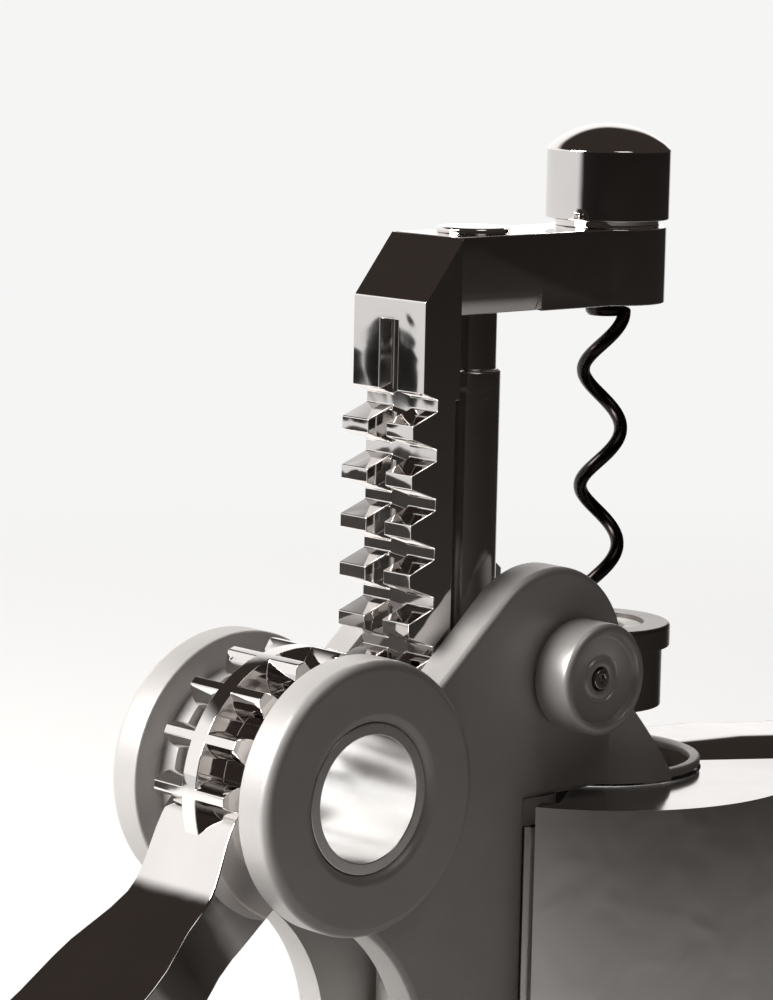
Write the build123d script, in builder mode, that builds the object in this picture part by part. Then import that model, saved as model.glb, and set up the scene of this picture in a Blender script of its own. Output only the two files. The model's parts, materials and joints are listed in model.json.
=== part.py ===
from build123d import *
from math import acos, cos, degrees, pi, radians, sin, sqrt, tan
import os

# Lever corkscrew: a rack-and-pinion frame, a worm carriage and two gripping handles.
# Millimetres.  The origin is on the worm's axis at the top of the closed jaws, +Z is up,
# +X points from the lever side to the gripping handles, and left is the +Y side.

os.makedirs("parts", exist_ok=True)

# ---- driving dimensions -------------------------------------------------------------
fit_gap = 0.05            # radial clearance of a running fit
clear = 0.4               # clearance between pieces of different bodies

# gearing
gear_module = 2.0
pinion_teeth = 15
pressure_angle = radians(20)
backlash = 0.24
rack_addendum = 1.7       # short teeth, so that the small pinion isn't undercut
gear_width = 13.3
rib_width = 2.6
rib_groove_width = 3.3
rib_overrun = 26.0        # degrees of rib past the end teeth
last_tooth = 8            # the pinion has teeth only where the rack uses them

# pivot of the lever
pivot_x = -54.0
pivot_z = 5.0
disc_radius = 17.4
disc_inner_y = 9.74
disc_outer_y = 15.0
disc_hole_radius = 9.5
disc_edge = 1.4
sleeve_bore = 8.0
sleeve_half_length = 14.3

# side plates
cheek_inner_y = 7.0
cheek_thickness = 5.0
cheek_edge = 0.9
cheek_nose_radius = 13.5
nose_low_angle = 235.0    # degrees, where the lower edge leaves the nose
cheek_top_x = -20.1
cheek_top_z = 16.8
cheek_top_radius = 13.4
cheek_slope = 43.0        # degrees, the front edge
cheek_rear_angle = 18.0   # degrees, the rear edge from upright
rear_length = 11.2
cheek_foot_x = 2.5
leg_front_x = -41.5
leg_foot_z = -44.0
leg_fillet = 23.0
cork_radius = 13.2        # the open chamber that the cork rises into
chamber_wall = 2.0
chamber_wall_start = 92.0  # degrees round the worm
chamber_wall_end = 150.0
chamber_wall_height = 10.0
chamber_slope = 56.0      # degrees, the wall's falling top edge
bridge_width = 1.4
bridge_height = 1.2

# frame fasteners
screw_radius = 1.5
screw_head_radius = 2.3
screw_head_depth = 1.6
screw_socket_depth = 0.9
screw_length = 8.0
screw_rises = (4.5, 14.5)

# frame body
bush_radius = 5.4
shoe_width = 12.0
lug_height = 3.6
lug_gap = 0.1
lug_waist = 3.0

# worm guide
guide_top_z = 19.6
guide_flange_radius = 10.0
guide_flange_height = 3.0
guide_radius = 9.0
guide_bottom_z = 8.5
guide_edge = 0.5
guide_tongue_x = -19.2
guide_tongue_width = 13.0
guide_tongue_height = 2.6
guide_screw_x = -17.5
guide_screw_y = 4.2
guide_screw_radius = 1.2
guide_screw_bite = 6.0
nut_radius = 6.5
nut_recess = 0.6

# latch with its side knobs
latch_x = -16.6
latch_z = 16.1
axle_radius = 2.5
axle_half_length = 15.0
pawl_width = 4.0
pawl_nose_rise = 1.2
pawl_nose_height = 1.8
knob_radius = 7.3
knob_outer_y = 18.2
knob_clear = 0.3
knob_dish_radius = 5.4
knob_dish_depth = 1.0
knob_edge = 0.45
knob_screw_radius = 1.3
knob_screw_length = 6.0
knob_screw_proud = 0.3
spring_wire_radius = 0.45
spring_pitch = 1.25
spring_turns = 3
spring_start_y = 2.6

# carriage
rack_bottom_z = -4.0
rack_back = 3.1           # metal behind the teeth
head_bottom_z = 53.6
head_chamfer_z = 64.8
head_top_z = 72.6
head_back_x = -32.7
head_step = 1.5
head_relief = 0.8
head_slot_height = 8.6
arm_height = 10.0
arm_width = 12.0
arm_relief_height = 3.0
arm_relief_depth = 1.2
arm_relief_end_x = -17.9
boss_radius = 7.9
dowel_radius = 1.5
dowel_spread = 3.0
dowel_bite = 5.0
cap_radius = 8.2
cap_groove = 1.3
cap_groove_height = 1.0
cap_height = 9.1
cap_edge = 0.8
cap_dome = 3.4
cap_cavity_radius = 5.4
cap_cavity_height = 6.5
rod_x = -24.7
rod_radius = 4.0
rod_neck_radius = 3.4
rod_neck_length = 7.4
rod_bottom_z = -6.0
rod_chamfer = 0.4
flange_radius = 4.7
flange_height = 0.8
flange_edge = 0.25

# worm
worm_pitch = 15.6
worm_wire_radius = 0.9
worm_helix_radius = 2.6
worm_tip_z = 5.0
worm_phase = 98.0         # degrees, where the tip stands round the axis
shank_radius = 2.6
shank_lead = 2.0
shank_height = 4.4        # above the arm
worm_bush_radius = 4.2
clip_radius = 4.2
clip_height = 1.6
clip_gap = 0.1

# gripping handles
grip_outer_radius = 29.0
grip_wall = 3.0
grip_top_z = 0.0
grip_height = 43.0
grip_plate = 3.0
grip_start = 150.0        # degrees round the bottle, where the shell begins
grip_end = 32.0
plate_start = 145.0
grip_foot_mouth_radius = 16.4
pin_x = -20.5
pin_y = 8.5
pin_radius = 2.0
pin_chamfer = 0.3
knuckle_radius = 3.5
knuckle_block_start = 140.0
knuckle_block_radius = 22.0
jaw_radius = 14.75        # closed jaws on a standard bottle neck
jaw_foot_gap = 5.0        # between the jaw and the shell's lower plate
jaw_start = 138.0
jaw_end = 52.0
handle_start_x = 17.0
handle_edge = 4.0
handle_drop = 1.0
handle_sections = (       # along +X: place, middle from the centre, width, height
    (handle_start_x, 17.2, 18.5, 38.0),
    (50.0, 15.5, 17.0, 33.0),
    (88.0, 14.0, 16.0, 28.0),
    (122.0, 13.0, 14.0, 22.0),
)
pad_start_x = 44.0
pad_end_x = 112.0
grip_pad_height = 12.0
grip_pad_depth = 2.2
grip_pad_inset = 1.0

# lever
lever_rest = 217.0        # degrees from +X, lever at rest
lever_depth = 8.4
lever_offset = 1.8
lever_start = 17.9
lever_edge = 1.5
lever_sections = (        # along the lever: reach from the pivot, width, depth
    (lever_start, gear_width, lever_depth),
    (30.0, 18.6, lever_depth),
    (62.0, 25.0, 9.0),
    (120.0, 27.0, 10.0),
    (152.0, 22.0, 7.0),
)
tongue_width = 8.0
tongue_depth = 4.0
tongue_length = 16.0
lever_screw_radius = 1.5
lever_screw_reaches = (22.5, 29.5)
lever_screw_length = 6.2
lever_pad_start = 78.0
lever_pad_length = 52.0
lever_pad_width = 17.0
lever_pad_depth = 2.0
lever_pad_proud = 0.7

# ---- derived sizes ------------------------------------------------------------------
pitch_radius = gear_module * pinion_teeth / 2
base_radius = pitch_radius * cos(pressure_angle)
tip_radius = pitch_radius + gear_module
root_radius = pitch_radius - 1.25 * gear_module
tooth_pitch = pi * gear_module
tooth_angle = 360 / pinion_teeth
pitch_x = pivot_x + pitch_radius
rack_tip_x = pitch_x - rack_addendum
rack_root_x = pitch_x + 1.25 * gear_module
rack_back_x = rack_root_x + rack_back
half_gear = gear_width / 2
cheek_outer_y = cheek_inner_y + cheek_thickness
last_space_z = head_bottom_z - clear - tooth_pitch / 4
first_angle = degrees((last_space_z - pivot_z) / pitch_radius)
arm_bottom_z = head_top_z - arm_height
sleeve_radius = disc_hole_radius
drum_bore = sleeve_radius + fit_gap + 1.2
lug_radius = knuckle_radius + lug_gap
grip_bottom_z = grip_top_z - grip_height
jaw_height = grip_height - 2 * grip_plate - jaw_foot_gap
pawl_hub_radius = latch_x - rod_x - rod_radius - clear
grip_inner_radius = grip_outer_radius - grip_wall
grip_middle_z = grip_top_z - grip_height / 2 + handle_drop
knuckle_bottom_z = leg_foot_z + lug_height + clear
knuckle_top_z = grip_top_z - lug_height
cap_bottom_z = head_top_z + cap_groove_height
cap_edge_z = cap_bottom_z + cap_height
rod_shoulder_z = arm_bottom_z - rod_neck_length
shank_top_z = head_top_z + shank_height
leg_rear_x = pin_x - knuckle_radius - clear
screw_x = (head_back_x + clear + leg_rear_x) / 2
screw_spots = [(screw_x, leg_foot_z + rise) for rise in screw_rises]
guide_screw_spots = [(guide_screw_x, guide_screw_y), (guide_screw_x, -guide_screw_y)]
arm_middle_z = arm_bottom_z + arm_height / 2
dowel_spots = [(dowel_spread, arm_middle_z), (-dowel_spread, arm_middle_z)]
frame_front_x = head_back_x + clear
frame_rear_x = -cork_radius - chamber_wall
shoe_near_x = rack_back_x + fit_gap

SIDES = (("left", 1), ("right", -1))


def across(near, far, side=0):
    """Plane that faces -Y, at the start of the stretch from near to far on one side."""
    if side > 0:
        return Plane.XZ.offset(-far)
    return Plane.XZ.offset(near)


def save(part, name):
    part.label = name
    export_step(part, f"parts/{name}.step")


def rack_space(z):
    """Corners of the gap between two rack teeth, centred on height z."""
    half_mid = (tooth_pitch / 2 + backlash / 2) / 2
    slope = tan(pressure_angle)
    half_tip = half_mid + rack_addendum * slope
    half_root = half_mid - (rack_root_x - pitch_x) * slope
    past = 1.0
    half_past = half_tip + past * slope
    return [
        (rack_tip_x - past, z - half_past),
        (rack_root_x, z - half_root),
        (rack_root_x, z + half_root),
        (rack_tip_x - past, z + half_past),
    ]


def involute(radius):
    """Angle of the tooth flank at a radius, measured from where it leaves the base."""
    roll = sqrt(max(0.0, (radius / base_radius) ** 2 - 1))
    return roll - acos(min(1.0, base_radius / radius))


def flank_point(radius, side):
    half_angle = (tooth_pitch / 2 - backlash / 2) / 2 / pitch_radius
    angle = half_angle + involute(pitch_radius) - involute(max(radius, base_radius))
    return (radius * cos(angle), side * radius * sin(angle))


def sector(inner, outer, start, end):
    """Face of a ring between two radii and two angles, about the sketch's origin."""
    with BuildSketch(mode=Mode.PRIVATE) as ring:
        with BuildLine():
            far_arc = CenterArc((0, 0), outer, start, end - start)
            near_arc = CenterArc((0, 0), inner, start, end - start)
            Line(far_arc @ 0, near_arc @ 0)
            Line(far_arc @ 1, near_arc @ 1)
        make_face()
    return ring.sketch


def side_sector(inner, outer, start, end, side):
    """A ring sector on one side, between two angles from +X."""
    low, high = sorted((side * start, side * end))
    return sector(inner, outer, low, high)


# ---- side plates, left and right ----------------------------------------------------
slope_x = cos(radians(cheek_slope))
slope_z = sin(radians(cheek_slope))
top_front = (cheek_top_x - cheek_top_radius * slope_z, cheek_top_z + cheek_top_radius * slope_x)
rear_x = cos(radians(cheek_rear_angle))
rear_z = sin(radians(cheek_rear_angle))
top_rear = (cheek_top_x + cheek_top_radius * rear_x, cheek_top_z + cheek_top_radius * rear_z)
rear_knee = (top_rear[0] + rear_length * rear_z, top_rear[1] - rear_length * rear_x)
nose_angle = radians(nose_low_angle)
nose_low = (
    pivot_x + cheek_nose_radius * cos(nose_angle),
    pivot_z + cheek_nose_radius * sin(nose_angle),
)
leg_knee = (leg_front_x, nose_low[1] + (leg_front_x - nose_low[0]) / tan(-nose_angle))

for side_name, side in SIDES:
    with BuildPart() as cheek:
        with BuildSketch(across(cheek_inner_y, cheek_outer_y, side)):
            with BuildLine():
                Polyline(
                    (pivot_x, pivot_z),
                    top_front,
                    (cheek_top_x, cheek_top_z),
                    top_rear,
                    rear_knee,
                    (cheek_foot_x, clear),
                    (leg_rear_x, clear),
                    (leg_rear_x, leg_foot_z),
                    (leg_front_x, leg_foot_z),
                    leg_knee,
                    nose_low,
                    close=True,
                )
            plate_face = make_face()
            fillet(plate_face.vertices().sort_by_distance((*leg_knee, 0))[0], leg_fillet)
            with Locations((pivot_x, pivot_z)):
                Circle(cheek_nose_radius)
            with Locations((cheek_top_x, cheek_top_z)):
                Circle(cheek_top_radius)
        extrude(amount=cheek_thickness)
        outer_face = cheek.faces().filter_by(Axis.Y).sort_by(Axis.Y)[-1 if side > 0 else 0]
        fillet(outer_face.edges(), cheek_edge)
        # the wall round the cork's chamber, and the chamber itself
        with BuildSketch(Plane.XY.offset(clear)):
            wall_radius = cork_radius + chamber_wall
            add(side_sector(cork_radius, wall_radius, chamber_wall_start, chamber_wall_end, side))
        extrude(amount=chamber_wall_height)
        wall_run = chamber_wall_height / tan(radians(chamber_slope))
        with BuildSketch(across(cheek_outer_y, cork_radius + chamber_wall + 1, side)):
            with BuildLine():
                Polyline(
                    (0, bridge_height / 2),
                    (-wall_run, bridge_height / 2 + chamber_wall_height),
                    (0, bridge_height / 2 + chamber_wall_height),
                    close=True,
                )
            make_face()
        extrude(amount=cork_radius + chamber_wall + 1 - cheek_outer_y, mode=Mode.SUBTRACT)
        with BuildSketch(Plane.XY.offset(clear)):
            Circle(cork_radius)
        extrude(amount=cheek_top_z + cheek_top_radius, mode=Mode.SUBTRACT)
        # seat of the pivot disc, and the holes
        with BuildSketch(across(disc_inner_y, disc_outer_y, side)):
            with Locations((pivot_x, pivot_z)):
                Circle(disc_radius)
        extrude(amount=disc_outer_y - disc_inner_y, mode=Mode.SUBTRACT)
        with BuildSketch(across(cheek_inner_y, cheek_outer_y, side)):
            with Locations((pivot_x, pivot_z)):
                Circle(sleeve_radius)
            with Locations((latch_x, latch_z)):
                Circle(axle_radius + fit_gap)
            with Locations(*screw_spots):
                Circle(screw_radius)
        extrude(amount=cheek_thickness, mode=Mode.SUBTRACT)
        with BuildSketch(across(cheek_outer_y - screw_head_depth, cheek_outer_y, side)):
            with Locations(*screw_spots):
                Circle(screw_head_radius)
        extrude(amount=screw_head_depth, mode=Mode.SUBTRACT)
    save(cheek.part, f"{side_name}_cheek")

    with BuildPart() as cheek_screws:
        with BuildSketch(across(cheek_outer_y - screw_head_depth, cheek_outer_y, side)):
            with Locations(*screw_spots):
                Circle(screw_head_radius)
        extrude(amount=screw_head_depth)
        with BuildSketch(across(cheek_outer_y - screw_length, cheek_outer_y, side)):
            with Locations(*screw_spots):
                Circle(screw_radius)
        extrude(amount=screw_length)
        socket_y = cheek_outer_y - screw_socket_depth
        with BuildSketch(across(socket_y, cheek_outer_y, side)):
            with Locations(*screw_spots):
                RegularPolygon(screw_radius, 6)
        extrude(amount=screw_socket_depth, mode=Mode.SUBTRACT)
    save(cheek_screws.part, f"{side_name}_cheek_screws")

    with BuildPart() as pivot_disc:
        with BuildSketch(Plane.XY.offset(pivot_z)):
            disc_middle = side * (disc_inner_y + disc_outer_y) / 2
            disc_middle_x = pivot_x + (disc_radius + disc_hole_radius) / 2
            with Locations((disc_middle_x, disc_middle)):
                Rectangle(disc_radius - disc_hole_radius, disc_outer_y - disc_inner_y)
            corners = vertices().sort_by(Axis.Y)
            fillet(corners[2:] if side > 0 else corners[:2], disc_edge)
        revolve(axis=Axis((pivot_x, 0, pivot_z), (0, 1, 0)))
    save(pivot_disc.part, f"{side_name}_pivot_disc")

with BuildPart() as pivot_sleeve:
    with BuildSketch(Plane.XZ.offset(-sleeve_half_length)):
        with Locations((pivot_x, pivot_z)):
            Circle(sleeve_radius)
            Circle(sleeve_bore, mode=Mode.SUBTRACT)
    extrude(amount=2 * sleeve_half_length)
save(pivot_sleeve.part, "pivot_sleeve")

# ---- frame body between the side plates ---------------------------------------------
with BuildPart() as frame_body:
    with BuildSketch(Plane.XZ.offset(-cheek_inner_y)):
        with BuildLine():
            Polyline(
                (frame_front_x, leg_foot_z),
                (frame_front_x, guide_bottom_z),
                (frame_rear_x, guide_bottom_z),
                (frame_rear_x, clear),
                (leg_rear_x, clear),
                (leg_rear_x, leg_foot_z),
                close=True,
            )
        make_face()
    extrude(amount=2 * cheek_inner_y)
    for lug_top_z in (grip_top_z + clear, leg_foot_z + lug_height):
        with BuildSketch(Plane.XY.offset(lug_top_z)):
            with Locations(((frame_front_x + pin_x) / 2, 0)):
                Rectangle(pin_x - frame_front_x, 2 * cheek_inner_y)
            with Locations((pin_x, pin_y), (pin_x, -pin_y)):
                Circle(lug_radius)
            with Locations(((leg_rear_x + pin_x) / 2, 0)):
                Rectangle(pin_x - leg_rear_x, 2 * (pin_y + lug_waist))
            with Locations((pin_x, 0)):
                Rectangle(2 * lug_radius, 2 * pin_y)
        extrude(amount=-lug_height)
    # bores for the guide rod, its bush, the hinge pins and the screws
    with BuildSketch(Plane.XY.offset(leg_foot_z)):
        with Locations((rod_x, 0)):
            Circle(rod_radius + clear)
    extrude(amount=clear - leg_foot_z, mode=Mode.SUBTRACT)
    with BuildSketch(Plane.XY.offset(clear)):
        with Locations((rod_x, 0)):
            Circle(bush_radius)
    extrude(amount=guide_bottom_z - clear, mode=Mode.SUBTRACT)
    with BuildSketch(Plane.XY.offset(leg_foot_z)):
        with Locations((pin_x, pin_y), (pin_x, -pin_y)):
            Circle(pin_radius)
    extrude(amount=-leg_foot_z, mode=Mode.SUBTRACT)
    with BuildSketch(Plane.XZ.offset(-cheek_inner_y)):
        with Locations(*screw_spots):
            Circle(screw_radius)
    extrude(amount=2 * cheek_inner_y, mode=Mode.SUBTRACT)
    with BuildSketch(Plane.XY.offset(guide_bottom_z - guide_screw_bite)):
        with Locations(*guide_screw_spots):
            Circle(guide_screw_radius)
    extrude(amount=guide_screw_bite, mode=Mode.SUBTRACT)
save(frame_body.part, "frame_body")

with BuildPart() as rod_bush:
    with BuildSketch(Plane.XY.offset(clear)):
        with Locations((rod_x, 0)):
            Circle(bush_radius)
            Circle(rod_radius + fit_gap, mode=Mode.SUBTRACT)
    extrude(amount=guide_bottom_z - clear)
save(rod_bush.part, "rod_bush")

# a thin wear strip that the rack's back slides on
with BuildPart() as rack_shoe:
    with BuildSketch(Plane.XY.offset(leg_foot_z)):
        with Locations(((shoe_near_x + frame_front_x) / 2, 0)):
            Rectangle(frame_front_x - shoe_near_x, shoe_width)
    extrude(amount=guide_bottom_z - leg_foot_z)
save(rack_shoe.part, "rack_shoe")

# arc that joins the two plates' chamber walls, where the bottle's lip stops
with BuildPart() as lip_bridge:
    with BuildSketch(Plane.XY.offset(clear)):
        add(sector(cork_radius, cork_radius + bridge_width, -chamber_wall_start, chamber_wall_start))
    extrude(amount=bridge_height)
save(lip_bridge.part, "lip_bridge")

for side_name, side in SIDES:
    with BuildPart() as hinge_pin:
        with BuildSketch(Plane.XY.offset(leg_foot_z)):
            with Locations((pin_x, side * pin_y)):
                Circle(pin_radius)
        extrude(amount=grip_top_z - leg_foot_z)
        chamfer(hinge_pin.edges(), pin_chamfer)
    save(hinge_pin.part, f"{side_name}_hinge_pin")

# ---- worm guide ---------------------------------------------------------------------
with BuildPart() as worm_guide:
    with BuildSketch(Plane.XY.offset(guide_bottom_z)):
        Circle(guide_radius)
        with Locations((guide_tongue_x / 2, 0)):
            Rectangle(-guide_tongue_x, guide_tongue_width)
    extrude(amount=guide_tongue_height)
    with BuildSketch(Plane.XY.offset(guide_bottom_z)):
        Circle(guide_radius)
    extrude(amount=guide_top_z - guide_flange_height - guide_bottom_z)
    with BuildSketch(Plane.XY.offset(guide_top_z - guide_flange_height)):
        Circle(guide_flange_radius)
    extrude(amount=guide_flange_height)
    top_rim = worm_guide.edges().filter_by(GeomType.CIRCLE).sort_by(Axis.Z)[-1]
    fillet(top_rim, guide_edge)
    with BuildSketch(Plane.XY.offset(guide_bottom_z)):
        Circle(nut_radius)
    extrude(amount=guide_top_z - guide_bottom_z, mode=Mode.SUBTRACT)
    with BuildSketch(Plane.XY.offset(guide_bottom_z)):
        with Locations(*guide_screw_spots):
            Circle(guide_screw_radius)
    extrude(amount=guide_tongue_height, mode=Mode.SUBTRACT)
save(worm_guide.part, "worm_guide")

with BuildPart() as worm_nut:
    with BuildSketch(Plane.XY.offset(guide_bottom_z)):
        Circle(nut_radius)
        Circle(worm_helix_radius + worm_wire_radius + clear, mode=Mode.SUBTRACT)
    extrude(amount=guide_top_z - guide_bottom_z - nut_recess)
save(worm_nut.part, "worm_nut")

with BuildPart() as guide_screws:
    with BuildSketch(Plane.XY.offset(guide_bottom_z - guide_screw_bite)):
        with Locations(*guide_screw_spots):
            Circle(guide_screw_radius)
    extrude(amount=guide_screw_bite + guide_tongue_height)
save(guide_screws.part, "guide_screws")

# ---- latch: axle, side knobs and pawl -----------------------------------------------
with BuildPart() as latch_axle:
    with BuildSketch(Plane.XZ.offset(-axle_half_length)):
        with Locations((latch_x, latch_z)):
            Circle(axle_radius)
    extrude(amount=2 * axle_half_length)
    with BuildSketch(Plane.XZ.offset(-axle_half_length)):
        with Locations((latch_x, latch_z)):
            Circle(knob_screw_radius)
    extrude(amount=2 * axle_half_length, mode=Mode.SUBTRACT)
save(latch_axle.part, "latch_axle")

with BuildPart() as latch_pawl:
    with BuildSketch(Plane.XZ.offset(-pawl_width / 2)):
        with Locations((latch_x, latch_z)):
            Circle(pawl_hub_radius)
        with BuildLine():
            Polyline(
                (latch_x, latch_z + pawl_hub_radius),
                (-guide_flange_radius - clear, latch_z + pawl_nose_rise + pawl_nose_height / 2),
                (-guide_flange_radius - clear, latch_z + pawl_nose_rise - pawl_nose_height / 2),
                (latch_x, latch_z),
                close=True,
            )
        make_face()
        with Locations((latch_x, latch_z)):
            Circle(axle_radius, mode=Mode.SUBTRACT)
    extrude(amount=pawl_width)
save(latch_pawl.part, "latch_pawl")

for side_name, side in SIDES:
    with BuildPart() as side_knob:
        knob_base_y = cheek_outer_y + knob_clear
        with BuildSketch(Plane.XY.offset(latch_z)):
            knob_middle = side * (knob_base_y + knob_outer_y) / 2
            with Locations((latch_x + knob_radius / 2, knob_middle)):
                Rectangle(knob_radius, knob_outer_y - knob_base_y)
            dish_middle = side * (knob_outer_y - knob_dish_depth / 2)
            with Locations((latch_x + knob_dish_radius / 2, dish_middle)):
                Rectangle(knob_dish_radius, knob_dish_depth, mode=Mode.SUBTRACT)
        revolve(axis=Axis((latch_x, 0, latch_z), (0, 1, 0)))
        rim = side_knob.edges().filter_by(GeomType.CIRCLE).sort_by(SortBy.RADIUS)[-2:]
        fillet(rim.sort_by(Axis.Y)[-1 if side > 0 else 0], knob_edge)
        with BuildSketch(across(knob_base_y, axle_half_length, side)):
            with Locations((latch_x, latch_z)):
                Circle(axle_radius)
        extrude(amount=axle_half_length - knob_base_y, mode=Mode.SUBTRACT)
        with BuildSketch(across(knob_base_y, knob_outer_y, side)):
            with Locations((latch_x, latch_z)):
                Circle(knob_screw_radius)
        extrude(amount=knob_outer_y - knob_base_y, mode=Mode.SUBTRACT)
    save(side_knob.part, f"{side_name}_side_knob")

    with BuildPart() as knob_screw:
        screw_outer_y = knob_outer_y - knob_dish_depth + knob_screw_proud
        with BuildSketch(across(screw_outer_y - knob_screw_length, screw_outer_y, side)):
            with Locations((latch_x, latch_z)):
                Circle(knob_screw_radius)
        extrude(amount=knob_screw_length)
        with BuildSketch(across(screw_outer_y - screw_socket_depth, screw_outer_y, side)):
            with Locations((latch_x, latch_z)):
                RegularPolygon(knob_screw_radius / 2, 6)
        extrude(amount=screw_socket_depth, mode=Mode.SUBTRACT)
    save(knob_screw.part, f"{side_name}_knob_screw")

with BuildPart() as latch_spring:
    with BuildLine() as spring_line:
        Helix(
            spring_pitch,
            spring_pitch * spring_turns,
            axle_radius + fit_gap + spring_wire_radius,
            center=(latch_x, spring_start_y, latch_z),
            direction=(0, 1, 0),
        )
    spring_wire = spring_line.wires()[0]
    with BuildSketch(Plane(origin=spring_wire @ 0, z_dir=spring_wire % 0)):
        Circle(spring_wire_radius)
    sweep(path=spring_wire)
save(latch_spring.part, "latch_spring")

# ---- carriage: rack, arm, guide rod and cap -----------------------------------------
with BuildPart() as rack:
    with BuildSketch(Plane.XZ.offset(-half_gear)):
        with BuildLine():
            Polyline(
                (rack_tip_x, rack_bottom_z),
                (rack_tip_x, head_bottom_z),
                (pitch_x, head_bottom_z),
                (pitch_x, head_chamfer_z),
                (head_back_x, head_top_z),
                (head_back_x, head_bottom_z - head_step),
                (rack_back_x, head_bottom_z - head_step),
                (rack_back_x, rack_bottom_z),
                close=True,
            )
        make_face()
        space_z = last_space_z
        while space_z > rack_bottom_z:
            with BuildLine():
                Polyline(*rack_space(space_z), close=True)
            make_face(mode=Mode.SUBTRACT)
            space_z -= tooth_pitch
        with Locations(((rack_tip_x + pitch_x) / 2, head_bottom_z - head_relief / 2)):
            Rectangle(rack_addendum, head_relief, mode=Mode.SUBTRACT)
    extrude(amount=gear_width)
    # the groove that the pinion's rib runs in, and its end in the head
    with BuildSketch(Plane.YZ.offset(rack_tip_x)):
        groove_top = head_bottom_z + head_slot_height
        with Locations((0, (rack_bottom_z + groove_top) / 2)):
            Rectangle(rib_groove_width, groove_top - rack_bottom_z)
    extrude(amount=rack_root_x - rack_tip_x, mode=Mode.SUBTRACT)
save(rack.part, "rack")

with BuildPart() as carriage_arm:
    with BuildSketch(Plane.XY.offset(arm_bottom_z)):
        Circle(boss_radius)
        with Locations((head_back_x / 2, 0)):
            Rectangle(-head_back_x, arm_width)
    extrude(amount=arm_height)
    for side in (1, -1):
        with BuildSketch(Plane.YZ.offset(head_back_x)):
            with BuildLine():
                Polyline(
                    (side * arm_width / 2, arm_bottom_z + arm_relief_height),
                    (side * arm_width / 2, arm_bottom_z),
                    (side * (arm_width / 2 - arm_relief_depth), arm_bottom_z),
                    close=True,
                )
            make_face()
        extrude(amount=arm_relief_end_x - head_back_x, mode=Mode.SUBTRACT)
    with BuildSketch(Plane.XY.offset(arm_bottom_z)):
        Circle(worm_bush_radius)
        with Locations((rod_x, 0)):
            Circle(rod_neck_radius)
    extrude(amount=arm_height, mode=Mode.SUBTRACT)
    with BuildSketch(Plane.YZ.offset(head_back_x)):
        with Locations(*dowel_spots):
            Circle(dowel_radius)
    extrude(amount=dowel_bite, mode=Mode.SUBTRACT)
save(carriage_arm.part, "carriage_arm")

with BuildPart() as arm_dowels:
    with BuildSketch(Plane.YZ.offset(head_back_x)):
        with Locations(*dowel_spots):
            Circle(dowel_radius)
    extrude(amount=dowel_bite)
save(arm_dowels.part, "arm_dowels")

with BuildPart() as guide_rod:
    with BuildSketch(Plane.XY.offset(rod_bottom_z)):
        with Locations((rod_x, 0)):
            Circle(rod_radius)
    extrude(amount=rod_shoulder_z - rod_bottom_z)
    chamfer(guide_rod.edges(), rod_chamfer)
    with BuildSketch(Plane.XY.offset(rod_shoulder_z)):
        with Locations((rod_x, 0)):
            Circle(rod_neck_radius)
    extrude(amount=head_top_z - rod_shoulder_z)
save(guide_rod.part, "guide_rod")

with BuildPart() as rod_flange:
    with BuildSketch(Plane.XY.offset(head_top_z)):
        with Locations((rod_x, 0)):
            Circle(flange_radius)
    extrude(amount=flange_height)
    chamfer(rod_flange.edges().sort_by(Axis.Z)[-1], flange_edge)
save(rod_flange.part, "rod_flange")

with BuildPart() as worm_bush:
    with BuildSketch(Plane.XY.offset(arm_bottom_z)):
        Circle(worm_bush_radius)
        Circle(shank_radius + fit_gap, mode=Mode.SUBTRACT)
    extrude(amount=arm_height)
save(worm_bush.part, "worm_bush")

with BuildPart() as worm_cap:
    with BuildSketch(Plane.XZ):
        with BuildLine():
            neck_radius = cap_radius - cap_groove
            Polyline(
                (cap_cavity_radius, head_top_z),
                (neck_radius, head_top_z),
                (neck_radius, cap_bottom_z),
                (cap_radius, cap_bottom_z),
                (cap_radius, cap_edge_z),
            )
            dome_edge = (cap_radius - cap_edge, cap_edge_z + cap_edge)
            Line((cap_radius, cap_edge_z), dome_edge)
            dome_top = (0, cap_edge_z + cap_dome)
            TangentArc(dome_top, dome_edge, tangent=(1, 0))
            cap_cavity_z = head_top_z + cap_cavity_height
            Polyline(
                dome_top,
                (0, cap_cavity_z),
                (cap_cavity_radius, cap_cavity_z),
                (cap_cavity_radius, head_top_z),
            )
        make_face()
    revolve(axis=Axis.Z)
save(worm_cap.part, "worm_cap")

# ---- worm ---------------------------------------------------------------------------
with BuildPart() as worm:
    with BuildLine() as worm_line:
        helix_height = arm_bottom_z - worm_wire_radius - clear - worm_tip_z
        helix = Helix(worm_pitch, helix_height, worm_helix_radius, mode=Mode.PRIVATE)
        add(Pos(0, 0, worm_tip_z) * Rot(0, 0, worm_phase) * helix)
    worm_wire = worm_line.wires()[0]
    with BuildSketch(Plane(origin=worm_wire @ 0, z_dir=worm_wire % 0)):
        Circle(worm_wire_radius)
    sweep(path=worm_wire)
    with Locations(Location(worm_wire @ 0)):
        Sphere(worm_wire_radius)
    with BuildSketch(Plane.XY.offset(arm_bottom_z - shank_lead)):
        Circle(shank_radius)
    extrude(amount=shank_top_z - arm_bottom_z + shank_lead)
save(worm.part, "worm")

with BuildPart() as worm_clip:
    with BuildSketch(Plane.XY.offset(head_top_z + clip_gap)):
        Circle(clip_radius)
        Circle(shank_radius, mode=Mode.SUBTRACT)
    extrude(amount=clip_height)
save(worm_clip.part, "worm_clip")

# ---- lever: pinion drum, arm and grip pad -------------------------------------------
# The lever's section planes stand across its length: sketch x is +Y, sketch y its underside.
lever_plane = Plane(
    origin=(pivot_x, 0, pivot_z),
    x_dir=(0, 1, 0),
    z_dir=(cos(radians(lever_rest)), 0, sin(radians(lever_rest))),
)
pad_middle = lever_offset + lever_sections[3][2] / 2 + lever_pad_proud - lever_pad_depth / 2


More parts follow.
